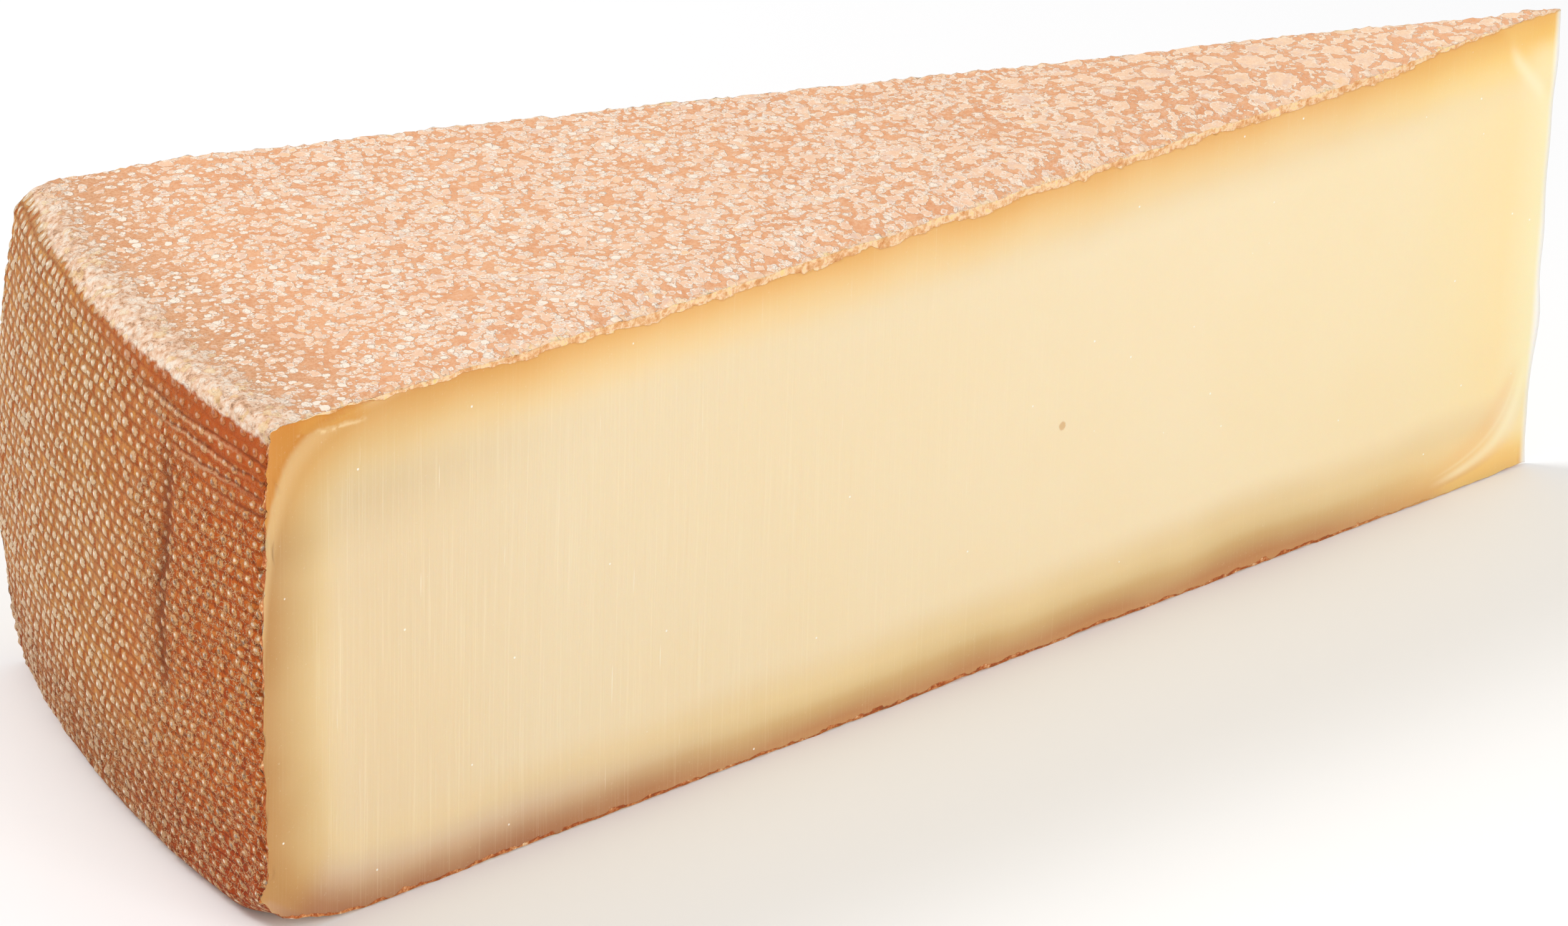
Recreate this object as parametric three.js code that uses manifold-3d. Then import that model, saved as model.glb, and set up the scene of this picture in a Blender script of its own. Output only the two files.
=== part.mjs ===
// Wedge of hard mountain cheese, cut from a large round wheel with two knife strokes.
//
// Millimetres, +Z up. The wedge rests on its flat underside. +X runs from the rounded heel, which was
// the wheel's edge, to the thin tip near the wheel's centre, and +Y runs across. The origin is at the
// middle of the bounding box's underside.
//
// The paste and its natural rind formed as one piece, so the wedge is one solid. It is made the way the
// real one is: a whole wheel is turned from its profile, and the wedge between the two cuts is kept.

import * as THREE from "three";
import { mergeVertices } from "three/addons/utils/BufferGeometryUtils.js";
import Module from "manifold-3d";

// The wheel
const WHEEL_RADIUS = 289; // at the rims, above and below the bulge
const WHEEL_HEIGHT = 98;
const HEEL_BULGE = 3.5; // how far the edge stands out beyond the rims at mid height
const TOP_RIM_RADIUS = 6;
const BASE_RIM_RADIUS = 4;
const SHOULDER_WIDTH = 28; // the upper face dips gently over this width, measured in from the edge
const SHOULDER_DROP = 1.4;

// The two cuts, which don't meet exactly at the wheel's centre
const WEDGE_ANGLE = THREE.MathUtils.degToRad(21.6);
const NEAR_SIDE = 314; // length of the cut on the -Y side, from the tip to the heel
const FAR_SIDE = 308; // length of the cut on the +Y side

// Facets
const EDGE_STEP = 3; // width of a facet around the wheel's edge
const CURVE_STEPS = 4; // steps along each curve of the profile, doubled on the arcs

const PASTE_COLOUR = "#f3dfae";
const PASTE_ROUGHNESS = 0.5;

// Half of the wheel's section: x is the distance from the axis and y is the height. It starts and ends
// on the axis.
function wheelProfile() {
  const topRimHeight = WHEEL_HEIGHT - SHOULDER_DROP - TOP_RIM_RADIUS;
  const bulgeHeight = (topRimHeight + BASE_RIM_RADIUS) / 2;
  const halfSpan = (topRimHeight - BASE_RIM_RADIUS) / 2;
  const bulgeRadius = (halfSpan ** 2 + HEEL_BULGE ** 2) / (2 * HEEL_BULGE);
  const bulgeAngle = Math.asin(halfSpan / bulgeRadius);
  const bulgeCentre = WHEEL_RADIUS + HEEL_BULGE - bulgeRadius;
  const quarter = Math.PI / 2;

  const profile = new THREE.Path();
  profile.moveTo(0, 0);
  profile.lineTo(WHEEL_RADIUS - BASE_RIM_RADIUS, 0);
  profile.absarc(WHEEL_RADIUS - BASE_RIM_RADIUS, BASE_RIM_RADIUS, BASE_RIM_RADIUS, -quarter, 0);
  profile.absarc(bulgeCentre, bulgeHeight, bulgeRadius, -bulgeAngle, bulgeAngle);
  profile.absarc(WHEEL_RADIUS - TOP_RIM_RADIUS, topRimHeight, TOP_RIM_RADIUS, 0, quarter);
  profile.quadraticCurveTo(
    WHEEL_RADIUS - SHOULDER_WIDTH / 2, WHEEL_HEIGHT,
    WHEEL_RADIUS - SHOULDER_WIDTH, WHEEL_HEIGHT,
  );
  profile.lineTo(0, WHEEL_HEIGHT);
  return profile.getPoints(CURVE_STEPS);
}

// The plan of the wedge has its tip at (0, 0) and its heel towards -X.
function heelCorner(side, acrossSign) {
  return new THREE.Vector2(
    -side * Math.cos(WEDGE_ANGLE / 2),
    acrossSign * side * Math.sin(WEDGE_ANGLE / 2),
  );
}

// The centre of the wheel whose rim passes through both corners of the heel.
function wheelCentre(nearCorner, farCorner) {
  const chord = farCorner.clone().sub(nearCorner);
  const middle = nearCorner.clone().lerp(farCorner, 0.5);
  const inwards = new THREE.Vector2(chord.y, -chord.x).normalize();
  const distance = Math.sqrt(WHEEL_RADIUS ** 2 - chord.lengthSq() / 4);
  return middle.addScaledVector(inwards, distance);
}

function wheelGeometry(centre) {
  const segments = Math.round((2 * Math.PI * WHEEL_RADIUS) / EDGE_STEP);
  return new THREE.LatheGeometry(wheelProfile(), segments)
    .rotateX(Math.PI / 2)
    .translate(centre.x, centre.y, 0);
}

// The space between the two cuts: a triangular prism, taller than the wheel and reaching past its edge.
function cutGeometry(nearCorner, farCorner) {
  const reach = 1.2;
  const overshoot = 10;
  const outline = new THREE.Shape([
    new THREE.Vector2(0, 0),
    farCorner.clone().multiplyScalar(reach),
    nearCorner.clone().multiplyScalar(reach),
  ]);
  return new THREE.ExtrudeGeometry(outline, {
    depth: WHEEL_HEIGHT + 2 * overshoot,
    bevelEnabled: false,
  }).translate(0, 0, -overshoot);
}

function toSolid(wasm, geometry) {
  const bare = geometry.clone();
  bare.deleteAttribute("normal");
  bare.deleteAttribute("uv");
  const merged = mergeVertices(bare, 1e-4);
  return new wasm.Manifold(
    new wasm.Mesh({
      numProp: 3,
      vertProperties: merged.attributes.position.array,
      triVerts: new Uint32Array(merged.index.array),
    }),
  );
}

function toGeometry(solid) {
  const { vertProperties, triVerts } = solid.getMesh();
  const geometry = new THREE.BufferGeometry();
  geometry.setAttribute("position", new THREE.BufferAttribute(vertProperties, 3));
  geometry.setIndex(new THREE.BufferAttribute(triVerts, 1));
  geometry.computeVertexNormals();
  return geometry;
}

// Puts the origin at the middle of the box's underside.
function centreOnBase(geometry) {
  geometry.computeBoundingBox();
  const { min, max } = geometry.boundingBox;
  return geometry.translate(-(min.x + max.x) / 2, -(min.y + max.y) / 2, -min.z);
}

const wasm = await Module();
wasm.setup();

const nearCorner = heelCorner(NEAR_SIDE, -1);
const farCorner = heelCorner(FAR_SIDE, 1);
const wheel = toSolid(wasm, wheelGeometry(wheelCentre(nearCorner, farCorner)));
const cuts = toSolid(wasm, cutGeometry(nearCorner, farCorner));

const wedge = new THREE.Mesh(
  centreOnBase(toGeometry(wheel.intersect(cuts))),
  new THREE.MeshStandardMaterial({ color: PASTE_COLOUR, roughness: PASTE_ROUGHNESS, metalness: 0 }),
);
wedge.name = "cheese_wedge";

const group = new THREE.Group();
group.add(wedge);

export default group;
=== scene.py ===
"""A wedge of hard mountain cheese with a natural rind, in a plain pale studio.

One closed mesh stands for the CAD solid. It is built ring by ring from the tip to the heel, then given its
relief: cloth marks pressed into the heel, a worn upper rim, crumbling rind along the cuts and faint knife
waves on the paste. Lengths are in millimetres until the mesh is made, and in metres after that.
"""

import math
from functools import partialmethod
from types import SimpleNamespace

import bpy
import numpy as np
from mathutils import Matrix, Vector, noise


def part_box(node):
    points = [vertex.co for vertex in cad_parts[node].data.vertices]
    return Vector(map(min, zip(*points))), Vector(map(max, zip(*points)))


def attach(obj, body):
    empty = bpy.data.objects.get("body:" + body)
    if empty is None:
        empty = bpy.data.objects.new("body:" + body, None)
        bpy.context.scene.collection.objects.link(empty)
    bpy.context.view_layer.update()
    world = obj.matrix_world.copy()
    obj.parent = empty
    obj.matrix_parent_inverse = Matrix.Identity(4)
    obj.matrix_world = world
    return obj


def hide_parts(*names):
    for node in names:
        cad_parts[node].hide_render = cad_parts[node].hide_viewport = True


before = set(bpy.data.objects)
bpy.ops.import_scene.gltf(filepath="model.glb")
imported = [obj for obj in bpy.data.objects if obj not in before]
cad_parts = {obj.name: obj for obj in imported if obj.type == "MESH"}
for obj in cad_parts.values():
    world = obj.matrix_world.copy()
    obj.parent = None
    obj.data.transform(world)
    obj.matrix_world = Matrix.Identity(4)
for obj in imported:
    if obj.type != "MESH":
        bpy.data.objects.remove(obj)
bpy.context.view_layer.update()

MM = 0.001

# The wheel and the two cuts, with the same values as in the CAD model
WHEEL_RADIUS = 289.0
WHEEL_HEIGHT = 98.0
HEEL_BULGE = 3.5
SHOULDER_WIDTH = 28.0
SHOULDER_DROP = 1.4
WEDGE_ANGLE = math.radians(21.6)
NEAR_SIDE = 314.0
FAR_SIDE = 308.0

# These change across the heel, and are given at its near corner and its far one
TOP_RIM_RADII = (2.2, 9.0)
BASE_RIM_RADII = (5.0, 4.0)
BULGE_SHARES = (0.6, 1.0)
DROP_SHARES = (0.1, 1.0)
RIM_GROWTH = 1.4  # power that keeps the upper rim sharp for longer

# Cloth marks: raised nubs in level rows, each row about half a nub along from the last
NUB_PITCH = 2.9
ROW_PITCH = 2.33
ROW_SHIFT = 0.46
NUB_HEIGHT = 0.55
NUB_REACH = (0.40, 0.44)  # half sizes across and up, in pitches

# Where the cloth's ends met, from the near cut, and the level folds under the rim: height and length
SEAM_PLACE = 31.0
SEAM_WIDTH = 2.0
FOLDS = ((90.6, 50), (87.6, 42), (84.4, 36), (81.3, 20))
FOLD_WIDTH = 0.30

# Mesh spacing
HEEL_STEP = 0.6
HEEL_ROWS = (7, 168, 13)  # on the base rim, the face and the top rim
RING_STEP = 1.06
LAST_RING_STEP = 0.45
TIP_CUT = 1.2  # the tip is this far short of a knife edge

# Noise of the relief: size of its lumps, octaves and seed
BROAD = (55, 2, 1.3)
LUMPS = (11, 3, 7.1)
GRAINS = (3.2, 3, 4.9)
CRUMBS = (1.5, 2, 9.4)
TIP_WANDER = (22, 2, 5.2)


# ---- Plan of the wedge, with the tip at the origin and the heel towards -X ----

HALF_ANGLE = WEDGE_ANGLE / 2
NEAR_WAY = np.array([-math.cos(HALF_ANGLE), -math.sin(HALF_ANGLE)])
FAR_WAY = np.array([-math.cos(HALF_ANGLE), math.sin(HALF_ANGLE)])
NEAR_OUT = np.array([math.sin(HALF_ANGLE), -math.cos(HALF_ANGLE), 0.0])
FAR_OUT = np.array([math.sin(HALF_ANGLE), math.cos(HALF_ANGLE), 0.0])


def wheel_centre():
    """The centre of the wheel whose rim passes through both corners of the heel."""
    near, far = NEAR_SIDE * NEAR_WAY, FAR_SIDE * FAR_WAY
    chord = far - near
    length = np.hypot(*chord)
    inwards = np.array([chord[1], -chord[0]]) / length
    return (near + far) / 2 + inwards * math.sqrt(WHEEL_RADIUS**2 - length**2 / 4)


def turn_about_centre(plan):
    """Angle around the wheel of points on the plan, growing from the near cut to the far one."""
    away = plan - CENTRE
    return np.arctan2(away[..., 1], -away[..., 0])


CENTRE = wheel_centre()
HEEL_WIDTH = NEAR_SIDE * WEDGE_ANGLE
NEAR_TURN = float(turn_about_centre(NEAR_SIDE * NEAR_WAY))


def reach(way, radius):
    """How far from the tip a ray meets the circle of that radius about the wheel's centre."""
    along = way @ CENTRE
    return along + np.sqrt(along**2 - CENTRE @ CENTRE + radius**2)


def tip_place():
    """Where the tip stands in the CAD frame, in millimetres."""
    low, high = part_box("cheese_wedge")
    widest = reach(NEAR_WAY, WHEEL_RADIUS + HEEL_BULGE)
    return np.array([high.x / MM, low.y / MM + widest * math.sin(HALF_ANGLE), 0.0])


TIP = tip_place()


def smoothstep(x, low, high):
    """0 below low, 1 above high and smooth between. It takes numbers, arrays and Fields."""
    if isinstance(x, Field):
        return x.graph.map_smooth(x, low, high)
    t = np.clip((x - low) / (high - low), 0, 1)
    return t * t * (3 - 2 * t)


def fade(x, low, high):
    """1 below low, 0 above high and smooth between."""
    return 1 - smoothstep(x, low, high)


def fractal(points, size, octaves=3, seed=0.0):
    """Noise of about -1 to 1 at the points, with lumps of about that size."""
    where = points / size + seed
    return np.array([noise.fractal(Vector(p), 1.0, 2.0, octaves) for p in where])


# ---- Smooth shape: the heel's grid, and the rings between it and the tip ----

def blend(ends, t):
    return ends[0] + (ends[1] - ends[0]) * t


def heel_rims(across):
    """Radius of the base rim, radius of the top rim and height, at each share of the way across."""
    height = WHEEL_HEIGHT - SHOULDER_DROP * blend(DROP_SHARES, across)
    return blend(BASE_RIM_RADII, across), blend(TOP_RIM_RADII, across**RIM_GROWTH), height


def heel_outline(across):
    """The heel's section at each share of the way across, from the base rim up: radius and height."""
    across = across[:, None]
    base_rim, top_rim, rim_height = heel_rims(across)
    base_rows, face_rows, top_rows = HEEL_ROWS

    turn = np.linspace(-math.pi / 2, 0, base_rows + 1)[None, :-1]
    base = (WHEEL_RADIUS - base_rim + base_rim * np.cos(turn), base_rim + base_rim * np.sin(turn))

    share = np.linspace(0, 1, face_rows + 1)[None, :]
    height = base_rim + (rim_height - top_rim - base_rim) * share
    bulge = HEEL_BULGE * blend(BULGE_SHARES, across) * (1 - (2 * share - 1) ** 2)
    face = (WHEEL_RADIUS + bulge, height)

    turn = np.linspace(0, math.pi / 2, top_rows + 1)[None, 1:]
    top = (
        WHEEL_RADIUS - top_rim + top_rim * np.cos(turn),
        rim_height - top_rim + top_rim * np.sin(turn),
    )
    return tuple(np.concatenate(parts, axis=1) for parts in zip(base, face, top))


def heel_grid():
    """Points of the heel, in columns from the near cut to the far one and rows from the base up."""
    columns = round(HEEL_WIDTH / HEEL_STEP)
    across = np.linspace(0, 1, columns + 1)
    radius, height = heel_outline(across)
    near_turn = turn_about_centre(reach(NEAR_WAY, radius)[..., None] * NEAR_WAY)
    far_turn = turn_about_centre(reach(FAR_WAY, radius)[..., None] * FAR_WAY)
    turn = near_turn + (far_turn - near_turn) * across[:, None]
    return np.stack(
        [CENTRE[0] - radius * np.cos(turn), CENTRE[1] + radius * np.sin(turn), height], axis=-1
    )


def graded(length, fine, coarse, growth, fine_width):
    """Places along a length, fine at both ends and coarser towards the middle, as shares of it."""
    places = [0.0]
    while places[-1] < length / 2:
        depth = places[-1]
        places.append(depth + min(coarse, fine + growth * max(0.0, depth - fine_width)))
    half = np.array(places) / (2 * places[-1])
    return np.concatenate([half, 1 - half[-2::-1]])


def shares_of(line):
    """How far along a polyline each of its points lies, as a share of its length."""
    steps = np.linalg.norm(np.diff(line, axis=0), axis=1)
    run = np.concatenate([[0], np.cumsum(steps)])
    return run / run[-1]


def resampled(line, shares):
    """A polyline's points at those shares of its length."""
    run = shares_of(line)
    return np.stack([np.interp(shares, run, line[:, k]) for k in range(3)], axis=1)


def top_height(pull, rim_height):
    """Height of the upper face on a line from the tip to the rim: it dips gently near the rim."""
    shoulder = smoothstep(pull * NEAR_SIDE, NEAR_SIDE - SHOULDER_WIDTH, NEAR_SIDE)
    return WHEEL_HEIGHT + (rim_height - WHEEL_HEIGHT) * shoulder


def drawn_in(line, pull, rim_height):
    """A line on the heel's edge, drawn in towards the tip and kept as high as the upper face there."""
    moved = line * [pull, pull, 1]
    moved[:, 2] *= top_height(pull, rim_height) / rim_height
    return moved


def ring_pulls():
    """How far out each ring lies, from 0 at the tip to 1 at the heel: closer together near the heel."""
    pulls = [TIP_CUT / NEAR_SIDE]
    while pulls[-1] < 1:
        left = (1 - pulls[-1]) * NEAR_SIDE
        step = min(RING_STEP, LAST_RING_STEP + 0.1 * max(0.0, left - 3))
        pulls.append(pulls[-1] + step / NEAR_SIDE)
    return pulls[:-1]


SIDES = ("near", "top", "far", "base", "heel")
RING_SIDES = SIDES[:4]

# Spacing of the points along a ring's sides: fine, coarse, growth and width of the fine part
CUT_GRADE = {"near": (0.42, 3.0, 0.14, 2.4), "far": (0.6, 4.0, 0.25, 1.2)}
FLAT_GRADE = {"top": (0.45, 1.05, 0.16, 1.4), "base": (0.6, 2.8, 0.3, 1.2)}


def heel_edges(table):
    """The four edges of a table over the heel, all run the same way round."""
    return {"near": table[0], "top": table[:, -1], "far": table[-1, ::-1], "base": table[::-1, 0]}


def ring_line(edge, name, pull):
    """One side of a ring: the heel's edge there, drawn in towards the tip."""
    if name in CUT_GRADE:
        shares = graded(WHEEL_HEIGHT, *CUT_GRADE[name])
        return drawn_in(resampled(edge, shares), pull, edge[:, 2].max())
    width = pull * HEEL_WIDTH
    shares = graded(width, *FLAT_GRADE[name]) if width > 1 else [0.0, 1.0]
    line = resampled(edge, shares)
    if name == "top":
        return np.column_stack([line[:, :2] * pull, top_height(pull, line[:, 2])])
    return line * [pull, pull, 1]


def add_ring(points, edges, pull):
    """Adds a ring's points, and returns the point numbers of its sides."""
    count = sum(map(len, points))
    numbers = {}
    for name in RING_SIDES:
        line = ring_line(edges[name], name, pull)[:-1]  # its last point is the next line's first
        points.append(line)
        numbers[name] = list(range(count, count + len(line)))
        count += len(line)
    for name, following in zip(RING_SIDES, RING_SIDES[1:] + RING_SIDES[:1]):
        numbers[name].append(numbers[following][0])
    return numbers


def stitched(points, inner, outer):
    """Triangles between two lines of point numbers that run the same way."""
    inner_at, outer_at = shares_of(points[inner]), shares_of(points[outer])
    faces = []
    i = j = 0
    while i < len(inner) - 1 or j < len(outer) - 1:
        inner_left, outer_left = i < len(inner) - 1, j < len(outer) - 1
        if inner_left and (not outer_left or inner_at[i + 1] <= outer_at[j + 1]):
            faces.append((inner[i], inner[i + 1], outer[j]))
            i += 1
        else:
            faces.append((inner[i], outer[j + 1], outer[j]))
            j += 1
    return faces


def build_surface():
    """The closed surface: points, faces as lists of point numbers, and each face's side."""
    grid = heel_grid()
    columns, rows = grid.shape[:2]
    numbers = np.arange(columns * rows).reshape(columns, rows)
    faces = [
        (numbers[i, j], numbers[i, j + 1], numbers[i + 1, j + 1], numbers[i + 1, j])
        for i in range(columns - 1) for j in range(rows - 1)
    ]
    sides = [SIDES.index("heel")] * len(faces)

    points = [grid.reshape(-1, 3)]
    edges = heel_edges(grid)
    rings = [add_ring(points, edges, pull) for pull in ring_pulls()]
    rings.append({name: list(line) for name, line in heel_edges(numbers).items()})
    points = np.concatenate(points)
    strips = [
        (inner[name], outer[name], name) for inner, outer in zip(rings, rings[1:]) for name in RING_SIDES
    ]
    # The tip is closed by a narrow strip between the first ring's two upright lines
    strips.append((rings[0]["far"][::-1], rings[0]["near"], "near"))
    for inner, outer, side in strips:
        strip = stitched(points, inner, outer)
        faces += strip
        sides += [SIDES.index(side)] * len(strip)
    return points, faces, np.array(sides)


# ---- Relief ----
# Functions that take ops work on arrays for the mesh and on a Graph's Fields for the material, so that
# each mark's colour lies on its relief.

def chance(column, row, key, ops):
    """A repeatable random number from 0 to 1 for a cell of the cloth."""
    return ops.mod(ops.sin(column * 12.9898 + row * 78.233 + key) * 43.7585, 1.0)


def cloth_nub(u, v, ops):
    """The cloth's nub at u mm around the heel and v mm up.

    Returns the place across and up from the nub's middle and from the weave's rows, and its luck.
    """
    along = (u + 0.5 * ops.sin(v * 0.13 + 1.0) + 0.4 * ops.sin(u * 0.21 + v * 0.07)) / NUB_PITCH
    up = (v + 0.5 * ops.sin(u * 0.06 + 0.5) + 0.25 * ops.sin(u * 0.23 + v * 0.05)) / ROW_PITCH
    row = ops.floor(up)
    along = along + ROW_SHIFT * row
    column = ops.floor(along)
    across = along - column - 0.5 + 0.34 * (chance(column, row, 1.0, ops) - 0.5)
    from_row = up - row - 0.5
    up = from_row + 0.26 * (chance(column, row, 2.0, ops) - 0.5)
    return across, up, from_row, chance(column, row, 3.0, ops)


def dip(distance, width, ops):
    """1 at no distance, falling to 0 over about that width."""
    share = distance / width
    return ops.exp(share * share * -1.0)


def seam(u, v, ops):
    """The upright crease where the ends of the cloth met."""
    wander = 0.5 * ops.sin(v * 0.21) + 0.3 * ops.sin(v * 0.83 + 1.0)
    crease = dip(u - SEAM_PLACE + wander, SEAM_WIDTH, ops)
    return crease * smoothstep(v, 34, 42) * fade(v, 76, 86)


def folds(u, v, ops):
    """Level folds of the cloth under the upper rim, by the near cut."""
    total = 0.0
    for height, end in FOLDS:
        wander = 0.25 * ops.sin(u * 0.21 + height) + 0.08 * ops.sin(u * 0.9 + height)
        line = dip(v - height + 0.02 * u + wander, FOLD_WIDTH, ops)
        total = total + line * fade(u, end - 14, end)
    return total


def corner_product(across, along, offset):
    """Hyperbolas that round off the corner between two edges."""
    return (across + offset) * (along + offset)


def heel_place(points):
    """Millimetres around the heel from the near cut, at the rim's radius."""
    return (turn_about_centre(points[:, :2]) - NEAR_TURN) * WHEEL_RADIUS


def cloth_relief(u, v, patchy):
    """Height of the heel's cloth marks."""
    across, up, from_row, luck = cloth_nub(u, v, np)
    spread = (across / NUB_REACH[0]) ** 2 + (up / NUB_REACH[1]) ** 2
    nub = np.clip(1 - spread, 0, 1) ** 0.8 * (0.4 + 0.8 * luck)
    thread = -0.25 * smoothstep(np.abs(from_row), 0.36, 0.5)
    strength = (0.8 + 0.5 * patchy) * (0.55 + 0.45 * smoothstep(u, 6, 40))
    strength *= fade(v, WHEEL_HEIGHT - 7, WHEEL_HEIGHT - 2.5) * smoothstep(v, 0.5, 4)
    return NUB_HEIGHT * (nub + thread) * strength - 0.35 * seam(u, v, np) - 0.16 * folds(u, v, np)


def heel_turn(u, z):
    """How level and how upward the heel faces at each point: 1, 0 on its face and 0, 1 on top."""
    base_rim, top_rim, rim_height = heel_rims(np.clip(u / HEEL_WIDTH, 0, 1))
    upward = np.clip((z - rim_height + top_rim) / top_rim, 0, 1)
    downward = np.clip(1 - z / base_rim, 0, 1)
    return np.sqrt(1 - np.maximum(upward, downward) ** 2), upward


class Places:
    """Where the points are, as distances in from the faces, and the noise there."""

    def __init__(self, points, sides_of):
        plan = points[:, :2]
        self.z = points[:, 2]
        self.depth = WHEEL_HEIGHT - self.z
        self.u = heel_place(points)
        self.from_near = -(plan @ NEAR_OUT[:2])
        self.from_far = -(plan @ FAR_OUT[:2])
        self.from_heel = WHEEL_RADIUS - np.hypot(*(plan - CENTRE).T)
        self.from_tip = np.hypot(*plan.T)
        self.on = {name: sides_of[:, k] for k, name in enumerate(SIDES)}
        self.on_cut = self.on["near"] | self.on["far"]
        self.from_cut = np.where(self.on_cut, 0, np.minimum(self.from_near, self.from_far))
        self.level, self.upward = heel_turn(self.u, self.z)

        # Lumps of several sizes, each shared by whatever meets there
        self.broad, self.lumps, self.grains, self.crumbs = (
            fractal(points, *kind) for kind in (BROAD, LUMPS, GRAINS, CRUMBS)
        )


def top_sag(at):
    """How far the upper edge of the near cut sags between its ends."""
    along = smoothstep(at.from_tip, 12, 60) * fade(at.from_tip, 225, 300)
    return 1.3 * along * fade(at.from_near, 0, 9)


def top_rise(at):
    """Height of the upper rind: gently uneven, and rougher on the worn rim and along the cuts."""
    rise = 0.35 * at.broad + 0.22 * at.lumps + 0.14 * at.grains + 0.08 * at.crumbs
    worn = fade(at.from_heel, 6, 11)
    rise += worn * (0.20 * at.grains + 0.12 * at.crumbs)
    rise += fade(at.from_cut, 0, 3) * (0.35 * at.grains + 0.55 * at.crumbs)
    on_heel = np.where(at.on["heel"], at.upward, 0)
    below = np.where(at.on_cut, fade(at.depth, 0, 5), on_heel)
    return rise * np.where(at.on["top"], 1, below)


def top_drop(at):
    """How far the upper rind has broken away along the cuts."""
    broken = np.clip(0.35 + 0.5 * at.lumps + 0.4 * at.grains + 0.2 * at.crumbs, 0, 1.4)
    drop = broken * fade(at.from_cut, 0, 1.3) + top_sag(at)
    high = np.where(at.on["top"], 1, fade(at.depth, 0.5, 9))
    return np.where(at.on["top"] | at.on_cut, drop * high, 0)


def base_rise(at):
    """The underside is flat where it rests, lifts a little at its edges and rolls up at the near corner."""
    ragged = np.clip(0.3 + 0.35 * at.lumps + 0.3 * at.grains, 0, 1)
    edges = ragged * fade(at.from_cut, 0, 2.2) * fade(at.z, 0.5, 3.0)
    roll = 3.6 * fade(at.from_heel, 0, 19) * fade(at.from_near, 0, 14)
    return np.where(at.on["base"] | at.on_cut, edges, 0) + roll * fade(at.z, 0, 16)


def rind_lip(at):
    """Shares of crumbly rind on the cut faces: along all their edges, and along the top alone."""
    top_width = 0.5 + 0.6 * at.lumps + 0.6 * at.grains + 0.3 * at.crumbs
    top_width = top_width * (0.4 + 0.6 * smoothstep(at.from_tip, 5, 50))
    heel_width = 0.4 + 0.45 * at.grains + 0.4 * at.crumbs
    base_width = (0.7 + 0.4 * at.grains + 0.4 * at.crumbs) * smoothstep(at.from_tip, 0, 60)
    widths = ((at.depth - top_sag(at), top_width), (from_heel_face(at), heel_width), (at.z, base_width))
    in_top, in_heel, in_base = (fade(d, width - 0.3, width + 0.3) for d, width in widths)
    return np.maximum(np.maximum(in_top, 0.85 * in_heel), 0.7 * in_base), in_top


def from_heel_face(at):
    """Distance in from the heel's face, which bulges beyond its rims."""
    bulge = HEEL_BULGE * blend(BULGE_SHARES, np.clip(at.u / HEEL_WIDTH, 0, 1))
    return at.from_heel + bulge * (1 - (2 * at.z / WHEEL_HEIGHT - 1) ** 2)


def cut_relief(at, lip, in_top):
    """How far the cut faces stand out: faint waves, proud lips of rind and a hollow at the heel's top."""
    proud = lip * np.clip(0.08 + 0.25 * at.grains + 0.12 * at.crumbs, -0.05, 0.5)
    corner = corner_product(np.maximum(from_heel_face(at), 0), at.depth, 2.0)
    proud -= 0.7 * fade(corner, 50, 66) * (1 - in_top) * at.on["near"]
    wave = 0.35 * at.broad + 0.05 * at.lumps
    relief = np.zeros((len(at.z), 3))
    for name, out, inwards in (("near", NEAR_OUT, at.from_near), ("far", FAR_OUT, at.from_far)):
        push = wave * fade(inwards, 0, 8) + np.where(at.on[name], proud, 0)
        relief += push[:, None] * out
    return relief


def heel_relief(at):
    """How far the heel stands out: cloth marks and slow swells, and a bend by the base's near corner."""
    push = cloth_relief(at.u, at.z, at.lumps)
    push += 0.4 * at.broad + 0.2 * at.lumps + 0.08 * at.grains + 0.14 * at.crumbs
    push += fade(at.u, 0, 4) * (0.9 * at.grains + 0.5 * at.crumbs)
    push += 2.2 * dip(at.z - 7, 4, np) * fade(at.from_near, 0, 8)
    on_cut = np.where(at.on_cut, fade(at.from_heel, 0, 5), 0)
    return push * np.where(at.on["heel"], 1, on_cut) * at.level


def displaced(points, sides_of):
    """The points with their relief, and each point's share of crumbly rind."""
    at = Places(points, sides_of)
    lip, in_top = rind_lip(at)
    moved = points + cut_relief(at, lip, in_top)
    moved[:, 2] += top_rise(at) - top_drop(at) + base_rise(at)
    moved[:, 0] += 1.1 * fractal(points * [0, 0, 1], *TIP_WANDER) * fade(at.from_tip, 1.5, 9)
    away = points[:, :2] - CENTRE
    away /= np.linalg.norm(away, axis=1)[:, None]
    moved[:, :2] += heel_relief(at)[:, None] * away

    rind = np.where(at.on["top"] | at.on["base"] | at.on["heel"], 1.0, lip)
    return moved, rind


# ---- Materials: a small language for node trees ----

class Field:
    """A value in a node tree that can be used in sums like a number."""

    def __init__(self, graph, socket):
        self.graph = graph
        self.socket = socket

    def __add__(self, other):
        return self.graph.math("ADD", self, other)

    def __sub__(self, other):
        return self.graph.math("SUBTRACT", self, other)

    def __rsub__(self, other):
        return self.graph.math("SUBTRACT", other, self)

    def __mul__(self, other):
        return self.graph.math("MULTIPLY", self, other)

    def __truediv__(self, other):
        return self.graph.math("DIVIDE", self, other)

    __radd__ = __add__
    __rmul__ = __mul__


def linear(colour):
    """Scene colour of an 8-bit display colour."""
    shares = np.array(colour, float) / 255
    low, high = shares / 12.92, ((shares + 0.055) / 1.055) ** 2.4
    return (*np.where(shares <= 0.04045, low, high), 1.0)


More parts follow.
